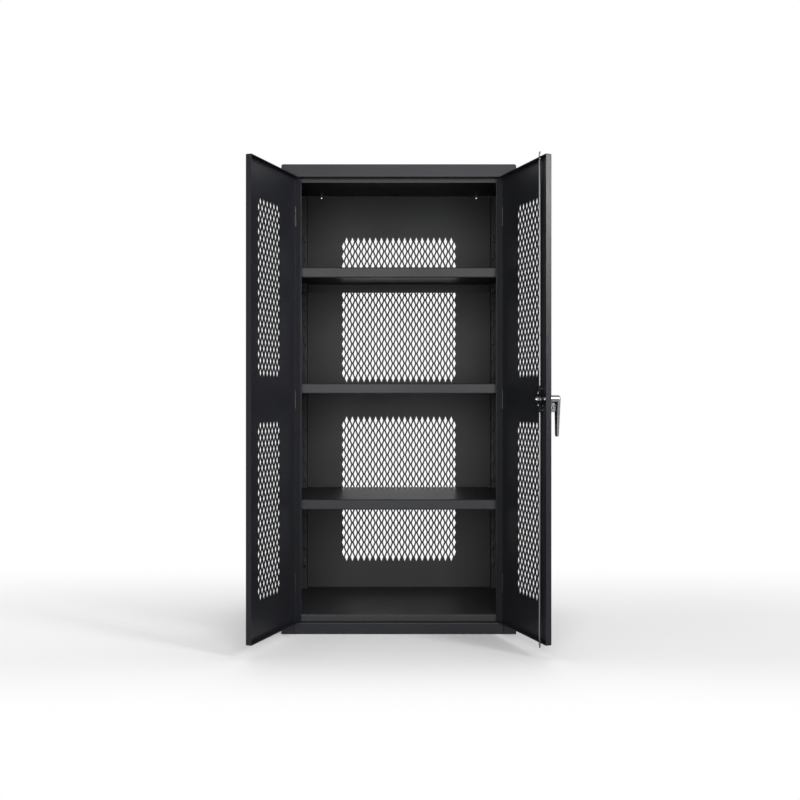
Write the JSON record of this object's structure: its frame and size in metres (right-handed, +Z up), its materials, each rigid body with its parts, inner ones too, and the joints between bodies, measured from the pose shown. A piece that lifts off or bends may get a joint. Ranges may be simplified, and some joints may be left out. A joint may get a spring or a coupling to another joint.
{
  "type": "ventilated storage cabinet",
  "caption": "Upright sheet steel cabinet with perforated doors and back, adjustable shelves and a padlockable three-point latch.",
  "frame": {"origin": "on the floor at the centre of the body's footprint, on the underside of the floor channel", "axes": "+Z up, -Y towards the doors, +X to the right as seen from in front"},
  "size_m": [1.1195, 0.9911, 1.8288],
  "materials": {
    "coat": "satin powder coat",
    "inside": "satin powder coat",
    "zinc": "bright zinc plate",
    "chrome": "polished",
    "black": "black oxide",
    "steel": "plain"
  },
  "bodies": {
    "cabinet": {"right_side": "coat", "left_side": "coat", "right_post": "coat", "left_post": "coat", "top_panel": "coat", "header": "coat", "base_rail": "coat", "floor_channel": "coat", "back_panel": "inside", "floor_pan": "inside", "front_right_upright": "inside", "front_left_upright": "inside", "rear_right_upright": "inside", "rear_left_upright": "inside", "lower_shelf": "coat", "middle_shelf": "coat", "upper_shelf": "coat", "lower_shelf_clip_front_right": "coat", "lower_shelf_clip_front_left": "coat", "lower_shelf_clip_rear_right": "coat", "lower_shelf_clip_rear_left": "coat", "middle_shelf_clip_front_right": "coat", "middle_shelf_clip_front_left": "coat", "middle_shelf_clip_rear_right": "coat", "middle_shelf_clip_rear_left": "coat", "upper_shelf_clip_front_right": "coat", "upper_shelf_clip_front_left": "coat", "upper_shelf_clip_rear_right": "coat", "upper_shelf_clip_rear_left": "coat", "right_frame_barrel_lower": "coat", "right_frame_barrel_middle": "coat", "right_frame_barrel_upper": "coat", "left_frame_barrel_lower": "coat", "left_frame_barrel_middle": "coat", "left_frame_barrel_upper": "coat"},
    "left_door": {"left_door": "coat", "left_door_barrel_lower": "coat", "left_door_barrel_middle": "coat", "left_door_barrel_upper": "coat"},
    "right_door": {"right_door": "coat", "right_door_barrel_lower": "coat", "right_door_barrel_middle": "coat", "right_door_barrel_upper": "coat", "handle_escutcheon": "chrome", "upper_escutcheon_screw": "steel", "middle_escutcheon_screw": "steel", "lower_escutcheon_screw": "steel", "latch_stop": "steel"},
    "handle": {"handle": "chrome", "spindle": "steel", "latch_cam": "black", "spindle_nut": "steel", "top_cam_pin": "zinc", "bottom_cam_pin": "zinc"},
    "top_rod": {"top_rod": "zinc"},
    "bottom_rod": {"bottom_rod": "zinc"}
  },
  "joints": [
    {"name": "left_door_hinge", "type": "hinge", "parent": "cabinet", "child": "left_door", "pos_m": [-0.4029, -0.3017, 0.9144], "axis": [0, 0, 1], "range_deg": [-2.7, 109.3]},
    {"name": "right_door_hinge", "type": "hinge", "parent": "cabinet", "child": "right_door", "pos_m": [0.4029, -0.3017, 0.9144], "axis": [0, 0, 1], "range_deg": [-109.3, 2.7]},
    {"name": "handle_turn", "type": "hinge", "parent": "right_door", "child": "handle", "pos_m": [0.51503, -0.61251, 0.9144], "axis": [0.9438, 0.3305, 0], "range_deg": [0, 90]},
    {"name": "top_rod_pivot", "type": "hinge", "parent": "handle", "child": "top_rod", "pos_m": [0.51503, -0.61251, 0.9364], "axis": [0.9438, 0.3305, 0], "range_deg": [-92, 0]},
    {"name": "bottom_rod_pivot", "type": "hinge", "parent": "handle", "child": "bottom_rod", "pos_m": [0.51503, -0.61251, 0.8924], "axis": [0.9438, 0.3305, 0], "range_deg": [-92, 0]}
  ],
  "couplings": [
    {"joint": "top_rod_pivot", "follows": "handle_turn", "ratio": -1.0162},
    {"joint": "bottom_rod_pivot", "follows": "handle_turn", "ratio": -1.0162}
  ]
}
